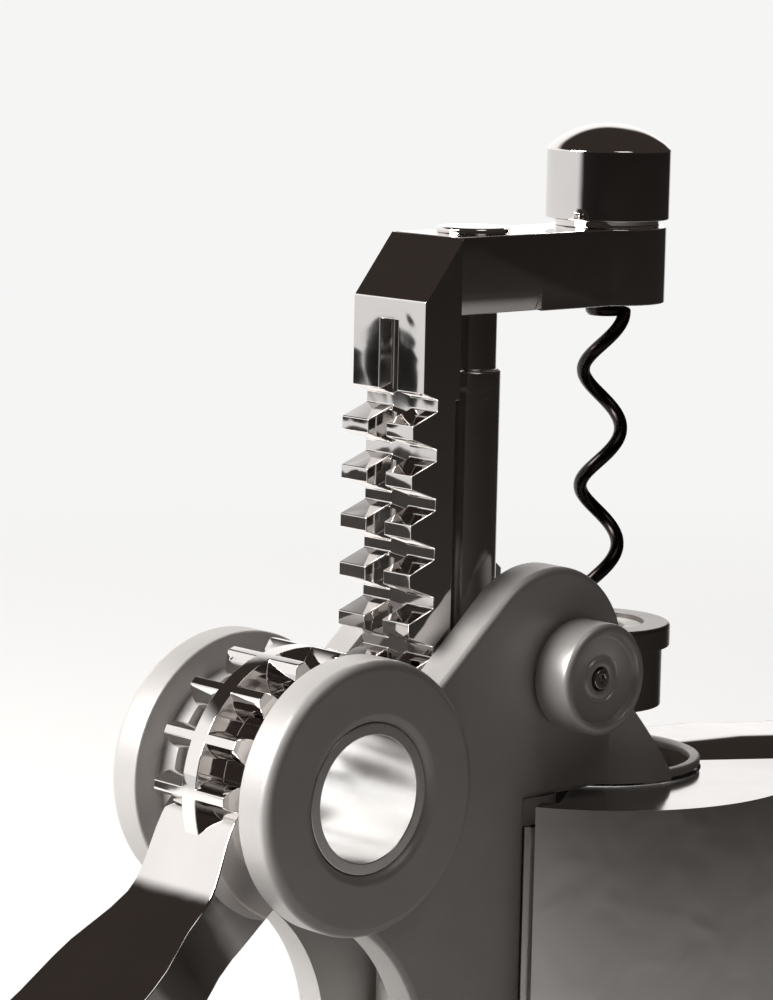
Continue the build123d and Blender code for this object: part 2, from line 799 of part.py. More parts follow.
def screw_plane(reach):
    """Plane on the lever's underside, facing out, at a distance from the pivot."""
    middle = lever_plane.offset(reach)
    return Plane(
        origin=middle.from_local_coords((0, lever_offset + lever_depth / 2, 0)),
        x_dir=middle.x_dir,
        z_dir=middle.y_dir,
    )


with BuildSketch(Plane.XY) as pinion_tooth:
    flank_radii = [base_radius + (tip_radius - base_radius) * step / 4 for step in range(5)]
    upper = [flank_point(radius, 1) for radius in flank_radii]
    lower = [flank_point(radius, -1) for radius in flank_radii]
    foot_x = (root_radius - 0.5) * upper[0][0] / base_radius
    foot_y = (root_radius - 0.5) * upper[0][1] / base_radius
    with BuildLine():
        Spline(*upper)
        Spline(*lower)
        ThreePointArc(upper[-1], (tip_radius, 0), lower[-1])
        Polyline(upper[0], (foot_x, foot_y), (foot_x, -foot_y), lower[0])
    make_face()

with BuildPart() as lever_drum:
    with BuildSketch(Plane.XZ.offset(-half_gear)):
        with Locations((pivot_x, pivot_z)):
            Circle(root_radius)
            with PolarLocations(0, last_tooth + 1, first_angle, -last_tooth * tooth_angle, endpoint=True):
                add(pinion_tooth.sketch)
    extrude(amount=gear_width)
    with BuildSketch(Plane.XZ.offset(-rib_width / 2)):
        with BuildLine():
            rib_start = first_angle + rib_overrun
            rib_size = -last_tooth * tooth_angle - 2 * rib_overrun
            rim_arc = CenterArc((pivot_x, pivot_z), tip_radius, rib_start, rib_size)
            Line(rim_arc @ 1, (pivot_x, pivot_z))
            Line((pivot_x, pivot_z), rim_arc @ 0)
        make_face()
    extrude(amount=rib_width)
    with BuildSketch(lever_plane.offset(drum_bore)):
        with Locations((0, lever_offset)):
            Rectangle(gear_width, lever_depth)
    extrude(amount=lever_start - drum_bore)
    with BuildSketch(lever_plane.offset(lever_start)):
        with Locations((0, lever_offset)):
            Rectangle(tongue_width, tongue_depth)
    extrude(amount=tongue_length)
    for reach in lever_screw_reaches:
        with BuildSketch(screw_plane(reach)):
            Circle(lever_screw_radius)
        extrude(amount=-lever_screw_length, mode=Mode.SUBTRACT)
    with BuildSketch(Plane.XZ.offset(-half_gear)):
        with Locations((pivot_x, pivot_z)):
            Circle(drum_bore)
    extrude(amount=gear_width, mode=Mode.SUBTRACT)
save(lever_drum.part, "lever_drum")

with BuildPart() as drum_bush:
    with BuildSketch(Plane.XZ.offset(-half_gear)):
        with Locations((pivot_x, pivot_z)):
            Circle(drum_bore)
            Circle(sleeve_radius + fit_gap, mode=Mode.SUBTRACT)
    extrude(amount=gear_width)
save(drum_bush.part, "drum_bush")

with BuildPart() as lever_arm:
    for reach, width, depth in lever_sections:
        with BuildSketch(lever_plane.offset(reach)):
            with Locations((0, lever_offset)):
                RectangleRounded(width, depth, lever_edge)
    loft()
    with BuildSketch(lever_plane.offset(lever_start)):
        with Locations((0, lever_offset)):
            Rectangle(tongue_width, tongue_depth)
    extrude(amount=tongue_length, mode=Mode.SUBTRACT)
    # seat of the grip pad on the underside
    with BuildSketch(lever_plane.offset(lever_pad_start)):
        with Locations((0, pad_middle)):
            Rectangle(lever_pad_width, lever_pad_depth)
    extrude(amount=lever_pad_length, mode=Mode.SUBTRACT)
    # holes for the screws, from the underside into the drum's tongue
    for reach in lever_screw_reaches:
        with BuildSketch(screw_plane(reach)):
            Circle(lever_screw_radius)
        extrude(amount=-lever_screw_length, mode=Mode.SUBTRACT)
save(lever_arm.part, "lever_arm")

with BuildPart() as lever_pad:
    with BuildSketch(lever_plane.offset(lever_pad_start)):
        with Locations((0, pad_middle)):
            Rectangle(lever_pad_width, lever_pad_depth)
    extrude(amount=lever_pad_length)
save(lever_pad.part, "lever_pad")

with BuildPart() as lever_screws:
    for reach in lever_screw_reaches:
        with BuildSketch(screw_plane(reach)):
            Circle(lever_screw_radius)
        extrude(amount=-lever_screw_length)
save(lever_screws.part, "lever_screws")

# ---- gripping handles ---------------------------------------------------------------
def handle_side(reach):
    """Distance of a handle's outer face from the centre, at one place along it."""
    places = [(x, middle + width / 2) for x, middle, width, height in handle_sections]
    for (x0, y0), (x1, y1) in zip(places, places[1:]):
        if reach <= x1:
            return y0 + (y1 - y0) * (reach - x0) / (x1 - x0)
    return places[-1][1]


def pad_outline(depth, side):
    """Strip along a handle's outer face, from the seat of its pad outwards."""
    start_y = handle_side(pad_start_x) - grip_pad_inset
    end_y = handle_side(pad_end_x) - grip_pad_inset
    with BuildSketch(mode=Mode.PRIVATE) as strip:
        with BuildLine():
            Polyline(
                (pad_start_x, side * start_y),
                (pad_end_x, side * end_y),
                (pad_end_x, side * (end_y + depth)),
                (pad_start_x, side * (start_y + depth)),
                close=True,
            )
        make_face()
    return strip.sketch


for side_name, side in SIDES:
    with BuildPart() as grip_handle:
        with BuildSketch(Plane.XY.offset(grip_bottom_z)):
            add(side_sector(grip_inner_radius, grip_outer_radius, grip_start, grip_end, side))
        extrude(amount=grip_height)
        for plate_z, mouth_radius in (
            (grip_top_z - grip_plate, jaw_radius),
            (grip_bottom_z, grip_foot_mouth_radius),
        ):
            with BuildSketch(Plane.XY.offset(plate_z)):
                add(side_sector(mouth_radius, grip_inner_radius, plate_start, grip_end, side))
                with Locations((pin_x, side * pin_y)):
                    Circle(lug_radius + clear, mode=Mode.SUBTRACT)
            extrude(amount=grip_plate)
        for (x0, middle0, width0, height0), (x1, middle1, width1, height1) in zip(
            handle_sections, handle_sections[1:]
        ):
            with BuildSketch(Plane.YZ.offset(x0)):
                with Locations((side * middle0, grip_middle_z)):
                    RectangleRounded(width0, height0, handle_edge)
            with BuildSketch(Plane.YZ.offset(x1)):
                with Locations((side * middle1, grip_middle_z)):
                    RectangleRounded(width1, height1, handle_edge)
            loft()
        with BuildSketch(Plane.XY.offset(knuckle_bottom_z)):
            with Locations((pin_x, side * pin_y)):
                Circle(knuckle_radius)
            add(side_sector(knuckle_block_radius, grip_inner_radius, grip_start, knuckle_block_start, side))
            with Locations((pin_x, side * pin_y)):
                Circle(pin_radius + fit_gap, mode=Mode.SUBTRACT)
        extrude(amount=knuckle_top_z - knuckle_bottom_z)
        with BuildSketch(Plane.XY.offset(grip_middle_z - grip_pad_height / 2)):
            add(pad_outline(2 * grip_pad_depth, side))
        extrude(amount=grip_pad_height, mode=Mode.SUBTRACT)
    save(grip_handle.part, f"{side_name}_grip_handle")

    with BuildPart() as grip_pad:
        with BuildSketch(Plane.XY.offset(grip_middle_z - grip_pad_height / 2)):
            add(pad_outline(grip_pad_depth, side))
        extrude(amount=grip_pad_height)
    save(grip_pad.part, f"{side_name}_grip_pad")

    with BuildPart() as jaw:
        with BuildSketch(Plane.XY.offset(grip_top_z - grip_plate - jaw_height)):
            add(side_sector(jaw_radius, grip_inner_radius, jaw_start, jaw_end, side))
        extrude(amount=jaw_height)
    save(jaw.part, f"{side_name}_jaw")
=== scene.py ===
import json
import math

import bmesh
import bpy
from mathutils import Matrix, Vector


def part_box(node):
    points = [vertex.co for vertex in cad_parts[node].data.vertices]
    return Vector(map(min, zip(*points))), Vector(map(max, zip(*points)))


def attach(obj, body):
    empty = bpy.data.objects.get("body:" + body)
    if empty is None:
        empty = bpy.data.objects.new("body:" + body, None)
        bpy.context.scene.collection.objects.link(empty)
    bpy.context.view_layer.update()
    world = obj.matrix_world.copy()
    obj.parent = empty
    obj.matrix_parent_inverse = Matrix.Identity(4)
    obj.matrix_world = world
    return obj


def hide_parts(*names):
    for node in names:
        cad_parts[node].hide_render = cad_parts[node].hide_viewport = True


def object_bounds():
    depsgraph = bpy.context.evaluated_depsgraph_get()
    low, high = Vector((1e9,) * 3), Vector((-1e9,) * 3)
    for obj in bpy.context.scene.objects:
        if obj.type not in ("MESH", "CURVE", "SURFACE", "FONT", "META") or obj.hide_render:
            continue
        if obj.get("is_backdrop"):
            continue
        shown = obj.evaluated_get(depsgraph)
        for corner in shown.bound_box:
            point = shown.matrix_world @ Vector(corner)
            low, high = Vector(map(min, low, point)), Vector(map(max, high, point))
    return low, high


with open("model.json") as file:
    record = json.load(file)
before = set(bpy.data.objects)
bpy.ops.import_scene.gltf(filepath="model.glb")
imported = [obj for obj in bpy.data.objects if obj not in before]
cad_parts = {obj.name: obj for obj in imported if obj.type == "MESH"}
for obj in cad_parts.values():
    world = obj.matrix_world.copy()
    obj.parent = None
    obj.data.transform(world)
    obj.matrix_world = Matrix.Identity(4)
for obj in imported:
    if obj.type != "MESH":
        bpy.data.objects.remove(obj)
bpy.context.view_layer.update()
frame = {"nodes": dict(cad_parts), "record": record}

bl_info = {
    "name": "Lever Corkscrew",
    "version": (1, 0, 0),
    "blender": (4, 5, 0),
    "location": "View3D > Sidebar > Corkscrew",
    "description": "Builds a rack-and-pinion lever corkscrew round its packed frame",
    "category": "Object",
}

MM = 0.001
NODE_BODY = {
    node: body for body, nodes in frame["record"]["behaviour"]["bodies"].items() for node in nodes
}
NODE_SLOT = {row["node"]: row["material_slot"] for row in frame["record"]["subparts"]}
PIVOT = Vector((-0.054, 0.0, 0.005))
LEVER_ANGLE = math.radians(217.0)


# ---- settings -------------------------------------------------------------------------
class CorkscrewSettings(bpy.types.PropertyGroup):
    casting_edge: bpy.props.FloatProperty(
        name="Casting edge", description="Width of the softened edges on castings",
        default=0.00035, min=0.0, max=0.001, unit="LENGTH",
    )
    tooth_edge: bpy.props.FloatProperty(
        name="Tooth edge", description="Width of the softened edges on chromed and ground pieces",
        default=0.00014, min=0.0, max=0.0005, unit="LENGTH",
    )
    chrome_colour: bpy.props.FloatVectorProperty(
        name="Chrome", description="Reflection colour of the chromed pieces",
        default=(0.74, 0.715, 0.70), min=0.0, max=1.0, subtype="COLOR",
    )
    casting_colour: bpy.props.FloatVectorProperty(
        name="Satin casting", description="Colour of the satin-plated castings",
        default=(0.47, 0.455, 0.445), min=0.0, max=1.0, subtype="COLOR",
    )
    grip_colour: bpy.props.FloatVectorProperty(
        name="Grip shell", description="Reflection colour of the polished handles",
        default=(0.62, 0.60, 0.59), min=0.0, max=1.0, subtype="COLOR",
    )
    worm_colour: bpy.props.FloatVectorProperty(
        name="Worm coat", description="Colour of the worm's dark non-stick coat",
        default=(0.022, 0.018, 0.017), min=0.0, max=1.0, subtype="COLOR",
    )


# ---- shader node groups ---------------------------------------------------------------
# Sockets of a colour Mix node, whose names repeat.
MIX_AMOUNT, MIX_FIRST, MIX_SECOND, MIX_COLOUR = 0, 6, 7, 2
SCRATCH_HEIGHT = -0.08


def add_node(tree, kind, **values):
    """A node with properties and unlinked inputs set by name."""
    made = tree.nodes.new(kind)
    for key, value in values.items():
        if hasattr(made, key):
            setattr(made, key, value)
        else:
            made.inputs[key.replace("_", " ")].default_value = value
    return made


def group_frame(name, inputs, outputs):
    """An empty shader node group with its named sockets."""
    tree = bpy.data.node_groups.new(name, "ShaderNodeTree")
    for socket_name, kind, default in inputs:
        socket = tree.interface.new_socket(socket_name, in_out="INPUT", socket_type=kind)
        if default is not None:
            socket.default_value = default
    for socket_name, kind in outputs:
        tree.interface.new_socket(socket_name, in_out="OUTPUT", socket_type=kind)
    return tree, tree.nodes.new("NodeGroupInput"), tree.nodes.new("NodeGroupOutput")


def ramp(tree, low, high):
    """Map Range that turns a noise value into a mask."""
    return add_node(tree, "ShaderNodeMapRange", clamp=True, From_Min=low, From_Max=high)


def handling_group():
    """Hairline scratches, smudges and slight waviness of a polished or ground skin."""
    name = "Handling Marks"
    if name in bpy.data.node_groups:
        return bpy.data.node_groups[name]
    tree, source, target = group_frame(
        name,
        [
            ("Position", "NodeSocketVector", None),
            ("Roughness", "NodeSocketFloat", 0.1),
            ("Smudges", "NodeSocketFloat", 0.1),
            ("Scratches", "NodeSocketFloat", 0.05),
            ("Waviness", "NodeSocketFloat", 0.0),
        ],
        [("Roughness", "NodeSocketFloat"), ("Height", "NodeSocketFloat")],
    )
    link = tree.links.new
    smudge = add_node(tree, "ShaderNodeTexNoise", Scale=95.0, Detail=5.0, Roughness=0.62, Distortion=0.6)
    link(source.outputs["Position"], smudge.inputs["Vector"])
    smudge_mask = ramp(tree, 0.47, 0.72)
    link(smudge.outputs["Fac"], smudge_mask.inputs["Value"])
    stretch = add_node(tree, "ShaderNodeMapping", Scale=(260.0, 900.0, 5200.0), Rotation=(0.5, 0.35, 0.2))
    link(source.outputs["Position"], stretch.inputs["Vector"])
    hairline = add_node(tree, "ShaderNodeTexNoise", Scale=1.0, Detail=3.0, Roughness=0.7)
    link(stretch.outputs["Vector"], hairline.inputs["Vector"])
    hairline_mask = ramp(tree, 0.62, 0.78)
    link(hairline.outputs["Fac"], hairline_mask.inputs["Value"])
    smudge_add = add_node(tree, "ShaderNodeMath", operation="MULTIPLY_ADD")
    link(smudge_mask.outputs["Result"], smudge_add.inputs[0])
    link(source.outputs["Smudges"], smudge_add.inputs[1])
    link(source.outputs["Roughness"], smudge_add.inputs[2])
    scratch_add = add_node(tree, "ShaderNodeMath", operation="MULTIPLY_ADD", use_clamp=True)
    link(hairline_mask.outputs["Result"], scratch_add.inputs[0])
    link(source.outputs["Scratches"], scratch_add.inputs[1])
    link(smudge_add.outputs[0], scratch_add.inputs[2])
    swell = add_node(tree, "ShaderNodeTexNoise", Scale=115.0, Detail=1.0, Roughness=0.4, Distortion=0.9)
    link(source.outputs["Position"], swell.inputs["Vector"])
    swell_height = add_node(tree, "ShaderNodeMath", operation="MULTIPLY")
    link(swell.outputs["Fac"], swell_height.inputs[0])
    link(source.outputs["Waviness"], swell_height.inputs[1])
    scratch_depth = add_node(tree, "ShaderNodeMath", operation="MULTIPLY")
    link(hairline_mask.outputs["Result"], scratch_depth.inputs[0])
    link(source.outputs["Scratches"], scratch_depth.inputs[1])
    height = add_node(tree, "ShaderNodeMath", operation="MULTIPLY_ADD")
    link(scratch_depth.outputs[0], height.inputs[0])
    height.inputs[1].default_value = SCRATCH_HEIGHT
    link(swell_height.outputs[0], height.inputs[2])
    link(scratch_add.outputs[0], target.inputs["Roughness"])
    link(height.outputs[0], target.inputs["Height"])
    return tree


def cast_group():
    """Fine pebble and cloudy tone of a satin-plated casting or a moulded skin."""
    name = "Cast Skin"
    if name in bpy.data.node_groups:
        return bpy.data.node_groups[name]
    tree, source, target = group_frame(
        name,
        [
            ("Position", "NodeSocketVector", None),
            ("Grain Size", "NodeSocketFloat", 2600.0),
            ("Colour", "NodeSocketColor", (0.5, 0.5, 0.5, 1.0)),
            ("Cloud Colour", "NodeSocketColor", (0.4, 0.4, 0.4, 1.0)),
            ("Cloudiness", "NodeSocketFloat", 0.5),
        ],
        [("Colour", "NodeSocketColor"), ("Height", "NodeSocketFloat")],
    )
    link = tree.links.new
    grain = add_node(tree, "ShaderNodeTexNoise", Detail=2.0, Roughness=0.55)
    link(source.outputs["Position"], grain.inputs["Vector"])
    link(source.outputs["Grain Size"], grain.inputs["Scale"])
    cloud = add_node(tree, "ShaderNodeTexNoise", Scale=60.0, Detail=4.0, Roughness=0.6)
    link(source.outputs["Position"], cloud.inputs["Vector"])
    cloud_mask = ramp(tree, 0.35, 0.7)
    link(cloud.outputs["Fac"], cloud_mask.inputs["Value"])
    cloud_amount = add_node(tree, "ShaderNodeMath", operation="MULTIPLY", use_clamp=True)
    link(cloud_mask.outputs["Result"], cloud_amount.inputs[0])
    link(source.outputs["Cloudiness"], cloud_amount.inputs[1])
    tone = add_node(tree, "ShaderNodeMix", data_type="RGBA")
    link(cloud_amount.outputs[0], tone.inputs[MIX_AMOUNT])
    link(source.outputs["Colour"], tone.inputs[MIX_FIRST])
    link(source.outputs["Cloud Colour"], tone.inputs[MIX_SECOND])
    link(tone.outputs[MIX_COLOUR], target.inputs["Colour"])
    link(grain.outputs["Fac"], target.inputs["Height"])
    return tree


# ---- materials ------------------------------------------------------------------------
def start_material(name):
    """A material with its Principled BSDF and the object position that its patterns read."""
    material = bpy.data.materials.new(name)
    material.use_nodes = True
    tree = material.node_tree
    shader = tree.nodes["Principled BSDF"]
    position = tree.nodes.new("ShaderNodeTexCoord")
    return material, tree, shader, position.outputs["Object"]


def add_bump(tree, shader, height, strength, distance):
    """Turns a height into the shader's normal."""
    bump = add_node(tree, "ShaderNodeBump", Strength=strength, Distance=distance)
    tree.links.new(height, bump.inputs["Height"])
    tree.links.new(bump.outputs["Normal"], shader.inputs["Normal"])


def add_marks(tree, shader, position, roughness, smudges, scratches, waviness=0.0):
    """Handling marks, which set the roughness; gives back their height."""
    marks = tree.nodes.new("ShaderNodeGroup")
    marks.node_tree = handling_group()
    marks.inputs["Roughness"].default_value = roughness
    marks.inputs["Smudges"].default_value = smudges
    marks.inputs["Scratches"].default_value = scratches
    marks.inputs["Waviness"].default_value = waviness
    tree.links.new(position, marks.inputs["Position"])
    tree.links.new(marks.outputs["Roughness"], shader.inputs["Roughness"])
    return marks.outputs["Height"]


def add_skin(tree, shader, position, colour, cloud_colour, cloudiness=0.5, grain_size=2600.0):
    """Cloudy cast skin, which sets the colour; gives back its height."""
    skin = tree.nodes.new("ShaderNodeGroup")
    skin.node_tree = cast_group()
    skin.inputs["Grain Size"].default_value = grain_size
    skin.inputs["Colour"].default_value = (*colour, 1.0)
    skin.inputs["Cloud Colour"].default_value = (*cloud_colour, 1.0)
    skin.inputs["Cloudiness"].default_value = cloudiness
    tree.links.new(position, skin.inputs["Position"])
    tree.links.new(skin.outputs["Colour"], shader.inputs["Base Color"])
    return skin.outputs["Height"]


def polished_metal(name, colour, roughness, smudges, scratches, waviness):
    """Mirror-like metal with handling marks and a slightly wavy skin."""
    material, tree, shader, position = start_material(name)
    shader.inputs["Metallic"].default_value = 1.0
    add_skin(tree, shader, position, colour, [channel * 0.88 for channel in colour], cloudiness=0.7)
    height = add_marks(tree, shader, position, roughness, smudges, scratches, waviness)
    add_bump(tree, shader, height, 1.0, 0.0004)
    return material


def satin_metal(name, colour, roughness, grain_size=2600.0, grain_depth=0.22, metal=1.0):
    """Plated casting: soft reflections, fine pebble and cloudy tone."""
    material, tree, shader, position = start_material(name)
    shader.inputs["Metallic"].default_value = metal
    clouds = [channel * 0.8 for channel in colour]
    grain = add_skin(tree, shader, position, colour, clouds, grain_size=grain_size)
    add_marks(tree, shader, position, roughness, smudges=0.07, scratches=0.05)
    add_bump(tree, shader, grain, grain_depth, 0.00008)
    return material


def moulded(name, colour, roughness, grain_size=1800.0, grain_depth=0.5, sheen=0.0):
    """Moulded plastic or rubber with a fine matt grain, which handling makes smoother."""
    material, tree, shader, position = start_material(name)
    shader.inputs["Sheen Weight"].default_value = sheen
    clouds = [channel * 1.35 + 0.004 for channel in colour]
    grain = add_skin(tree, shader, position, colour, clouds, grain_size=grain_size)
    add_marks(tree, shader, position, roughness, smudges=-0.12, scratches=-0.05)
    add_bump(tree, shader, grain, grain_depth, 0.0001)
    return material


def make_materials(settings):
    """Every material of the corkscrew, by the name of its slot."""
    chrome = tuple(settings.chrome_colour)
    casting = tuple(settings.casting_colour)
    grip = tuple(settings.grip_colour)
    worm = tuple(settings.worm_colour)
    return {
        "mirror_chrome": polished_metal("Mirror chrome", chrome, 0.035, 0.035, 0.0, 0.15),
        "satin_metal": satin_metal("Satin plated casting", casting, 0.42, metal=0.35),
        "knob_metal": satin_metal("Fine turned satin", (0.50, 0.485, 0.475), 0.34, 4200.0, 0.12, metal=0.45),
        "steel": polished_metal("Ground steel", (0.50, 0.48, 0.47), 0.16, 0.10, 0.12, 0.05),
        "dark_worm": polished_metal("Dark worm coat", worm, 0.22, 0.08, 0.05, 0.05),
        "guide_metal": satin_metal("Dark satin guide", (0.24, 0.22, 0.21), 0.28, 3600.0, 0.15),
        "bearing_bronze": satin_metal("Sintered bronze", (0.42, 0.30, 0.16), 0.42, 3000.0, 0.6),
        "bearing_plastic": moulded("Acetal bearing", (0.62, 0.61, 0.58), 0.42),
        "grip_shell": polished_metal("Polished grip shell", grip, 0.12, 0.05, 0.01, 0.10),
        # not a slot of its own: the pivot sleeve wears it in place of the chrome
        "polished_bore": polished_metal("Polished bore", (0.97, 0.965, 0.96), 0.22, 0.05, 0.05, 0.05),
        "soft_pad": moulded("Soft grip rubber", (0.018, 0.017, 0.017), 0.62, 1500.0, 0.8, 0.15),
        "jaw_rubber": moulded("Jaw rubber", (0.03, 0.028, 0.027), 0.7, 1300.0, 0.9, 0.1),
    }


MATERIALS = {}


# ---- helpers for pieces ---------------------------------------------------------------
SHARP_ANGLE = 32.0          # degrees: sharper edges are softened
BEVELLED_ANGLE = 62.0       # degrees: edges of a softened piece that still read as crisp
FLAT_FACE_WEIGHT = 90
CAD_WELD = 0.000002
SPUN_WELD = 0.000004
FLAT_ANGLE = math.radians(0.4)
BAR_ANGLE = 48.0            # degrees: sharper edges of an extruded bar are rounded
RIB_DEPTH = 0.0006


def deselect():
    """Object mode with nothing selected."""
    if bpy.context.mode != "OBJECT":
        bpy.ops.object.mode_set(mode="OBJECT")
    bpy.ops.object.select_all(action="DESELECT")


def make_active(piece):
    """Selects one piece alone."""
    deselect()
    piece.select_set(True)
    bpy.context.view_layer.objects.active = piece


def apply_modifiers(piece):
    """Turns a piece's modifiers into mesh."""
    make_active(piece)
    for modifier in list(piece.modifiers):
        bpy.ops.object.modifier_apply(modifier=modifier.name)


def settle(piece, body, slot, *nodes):
    """Gives a finished piece its place in its mesh, its material and its body, and hides the CAD nodes that
    it stands in for.
    """
    make_active(piece)
    bpy.ops.object.transform_apply(location=True, rotation=True, scale=True)
    piece.data.materials.clear()
    piece.data.materials.append(MATERIALS[slot])
    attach(piece, body)
    if nodes:
        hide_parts(*nodes)
    return piece


def smooth(piece, angle):
    """Smooth shading, with the edges sharper than the angle kept crisp."""
    make_active(piece)
    bpy.ops.object.shade_smooth_by_angle(angle=math.radians(angle))


def round_edges(piece, width, segments=2, angle=SHARP_ANGLE):
    """Narrow bevel on the sharp edges, with the broad faces kept flat in the shading."""
    soften = piece.modifiers.new("Softened edge", "BEVEL")
    soften.width = width
    soften.segments = segments
    soften.limit_method = "ANGLE"
    soften.angle_limit = math.radians(angle)
    apply_modifiers(piece)
    smooth(piece, BEVELLED_ANGLE)
    level = piece.modifiers.new("Level faces", "WEIGHTED_NORMAL")
    level.mode = "FACE_AREA"
    level.weight = FLAT_FACE_WEIGHT
    level.keep_sharp = True
    apply_modifiers(piece)


def softened(node, edge):
    """Merged copy of a CAD node with softened edges and smooth round faces."""
    source = frame["nodes"][node]
    piece = bpy.data.objects.new("fine_" + node, source.data.copy())
    bpy.context.scene.collection.objects.link(piece)
    make_active(piece)
    bpy.ops.mesh.customdata_custom_splitnormals_clear()
    bpy.ops.object.mode_set(mode="EDIT")
    bpy.ops.mesh.select_all(action="SELECT")
    bpy.ops.mesh.remove_doubles(threshold=CAD_WELD)
    bpy.ops.mesh.dissolve_limited(angle_limit=FLAT_ANGLE)
    bpy.ops.object.mode_set(mode="OBJECT")
    if edge > 0:
        round_edges(piece, edge)
    else:
        smooth(piece, SHARP_ANGLE)
    return settle(piece, NODE_BODY[node], NODE_SLOT[node], node)


def spun(name, profile, centre, axis, steps):
    """Closed turned piece: a (radius, distance along the axis) profile spun round an axis."""
    deselect()
    axis = Vector(axis).normalized()
    side = axis.orthogonal().normalized()
    centre = Vector(centre)
    bpy.ops.mesh.primitive_plane_add(size=0.001, location=(0.0, 0.0, 0.0))
    piece = bpy.context.active_object
    piece.name = name
    bpy.ops.object.mode_set(mode="EDIT")
    mesh = bmesh.from_edit_mesh(piece.data)
    mesh.clear()
    points = [
        mesh.verts.new(centre + side * radius * MM + axis * height * MM) for radius, height in profile
    ]
    for first, second in zip(points, points[1:]):
        mesh.edges.new((first, second))
    for point in mesh.verts:
        point.select = True
    for edge in mesh.edges:
        edge.select = True
    bmesh.update_edit_mesh(piece.data)
    bpy.ops.mesh.spin(steps=steps, angle=math.tau, center=centre, axis=axis)
    bpy.ops.mesh.select_all(action="SELECT")
    bpy.ops.mesh.remove_doubles(threshold=SPUN_WELD)
    bpy.ops.mesh.normals_make_consistent(inside=False)
    bpy.ops.object.mode_set(mode="OBJECT")
    return piece


def smooth_between(sections, reach):
    """Values of a row of sections at any reach, without kinks."""
    for before, after in zip(sections, sections[1:]):
        if reach <= after[0]:
            share = (reach - before[0]) / (after[0] - before[0])
            share = share * share * (3 - 2 * share)
            return [a + (b - a) * share for a, b in zip(before[1:], after[1:])]
    return list(sections[-1][1:])


def extruded_bar(name, stations, rounding, segments=4):
    """Bar along X, extruded from section to section: (x, middle y, middle z, width, height)."""
    deselect()
    x, middle_y, middle_z, width, height = stations[0]
    facing_x = (0.0, math.radians(90.0), 0.0)
    bpy.ops.mesh.primitive_plane_add(size=1.0, location=(0.0, 0.0, 0.0), rotation=facing_x)
    piece = bpy.context.active_object
    piece.name = name
    piece.scale = (height, width, 1.0)
    piece.location = (x, middle_y, middle_z)
    bpy.ops.object.transform_apply(location=True, rotation=True, scale=True)
    bpy.ops.object.mode_set(mode="EDIT")
    bpy.ops.mesh.select_all(action="SELECT")
    for next_x, next_y, next_z, next_width, next_height in stations[1:]:
        step = (next_x - x, next_y - middle_y, next_z - middle_z)
        bpy.ops.mesh.extrude_region_move(TRANSFORM_OT_translate={"value": step})
        x, middle_y, middle_z = next_x, next_y, next_z
        grow = (1.0, next_width / width, next_height / height)
        bpy.ops.transform.resize(value=grow, center_override=(x, middle_y, middle_z))
        width, height = next_width, next_height
    bpy.ops.mesh.select_all(action="SELECT")
    bpy.ops.mesh.normals_make_consistent(inside=False)
    bpy.ops.object.mode_set(mode="OBJECT")
    round_edges(piece, rounding, segments, BAR_ANGLE)
    return piece


def ribbed_pad(name, length, width, thickness, ribs):
    """Flat pad along X, with grooves pressed into its +Z face between cross ribs."""
    deselect()
    bpy.ops.mesh.primitive_cube_add(size=1.0, location=(0.0, 0.0, 0.0))
    pad = bpy.context.active_object
    pad.name = name
    pad.scale = (length, width, thickness)
    bpy.ops.object.transform_apply(location=True, rotation=True, scale=True)
    bpy.ops.object.mode_set(mode="EDIT")
    strips = 2 * ribs
    for step in range(1, strips):
        cut_x = length * (step / strips - 0.5)
        bpy.ops.mesh.select_all(action="SELECT")
        bpy.ops.mesh.bisect(plane_co=(cut_x, 0.0, 0.0), plane_no=(1.0, 0.0, 0.0))
    bpy.ops.mesh.select_all(action="DESELECT")
    bpy.ops.mesh.select_mode(type="FACE")
    mesh = bmesh.from_edit_mesh(pad.data)
    for face in mesh.faces:
        strip = int((face.calc_center_median().x / length + 0.5) * strips)
        face.select = face.normal.z > 0.9 and strip % 2 == 1
    bmesh.update_edit_mesh(pad.data)
    bpy.ops.mesh.inset(thickness=length / ribs * 0.10, depth=-RIB_DEPTH, use_individual=True)
    bpy.ops.object.mode_set(mode="OBJECT")
    round_edges(pad, RIB_DEPTH * 0.45)
    return pad


class CORKSCREW_OT_castings(bpy.types.Operator):
    """Satin castings of the frame: side plates, body, lip bridge, worm guide and pivot discs"""
    bl_idname = "corkscrew.castings"
    bl_label = "Frame castings"

    def execute(self, context):
        edge = context.scene.corkscrew.casting_edge
        for node in ("left_cheek", "right_cheek", "frame_body", "lip_bridge", "worm_guide",
                     "left_pivot_disc", "right_pivot_disc"):
            softened(node, edge)
        return {"FINISHED"}


class CORKSCREW_OT_carriage(bpy.types.Operator):
    """Chromed carriage: rack, arm, rod, flange, cap and the worm's bush"""
    bl_idname = "corkscrew.carriage"
    bl_label = "Carriage"

    def execute(self, context):
        edge = context.scene.corkscrew.tooth_edge
        for node in ("rack", "carriage_arm", "rod_flange", "guide_rod", "worm_cap", "worm_bush"):
            softened(node, edge)
        return {"FINISHED"}


class CORKSCREW_OT_drum(bpy.types.Operator):
    """Toothed drum of the lever, and the polished pivot sleeve"""
    bl_idname = "corkscrew.drum"
    bl_label = "Pinion drum"

    def execute(self, context):
        edge = context.scene.corkscrew.tooth_edge
        for node in ("lever_drum", "drum_bush"):
            softened(node, edge)
        sleeve = softened("pivot_sleeve", edge)
        sleeve.data.materials[0] = MATERIALS["polished_bore"]
        return {"FINISHED"}


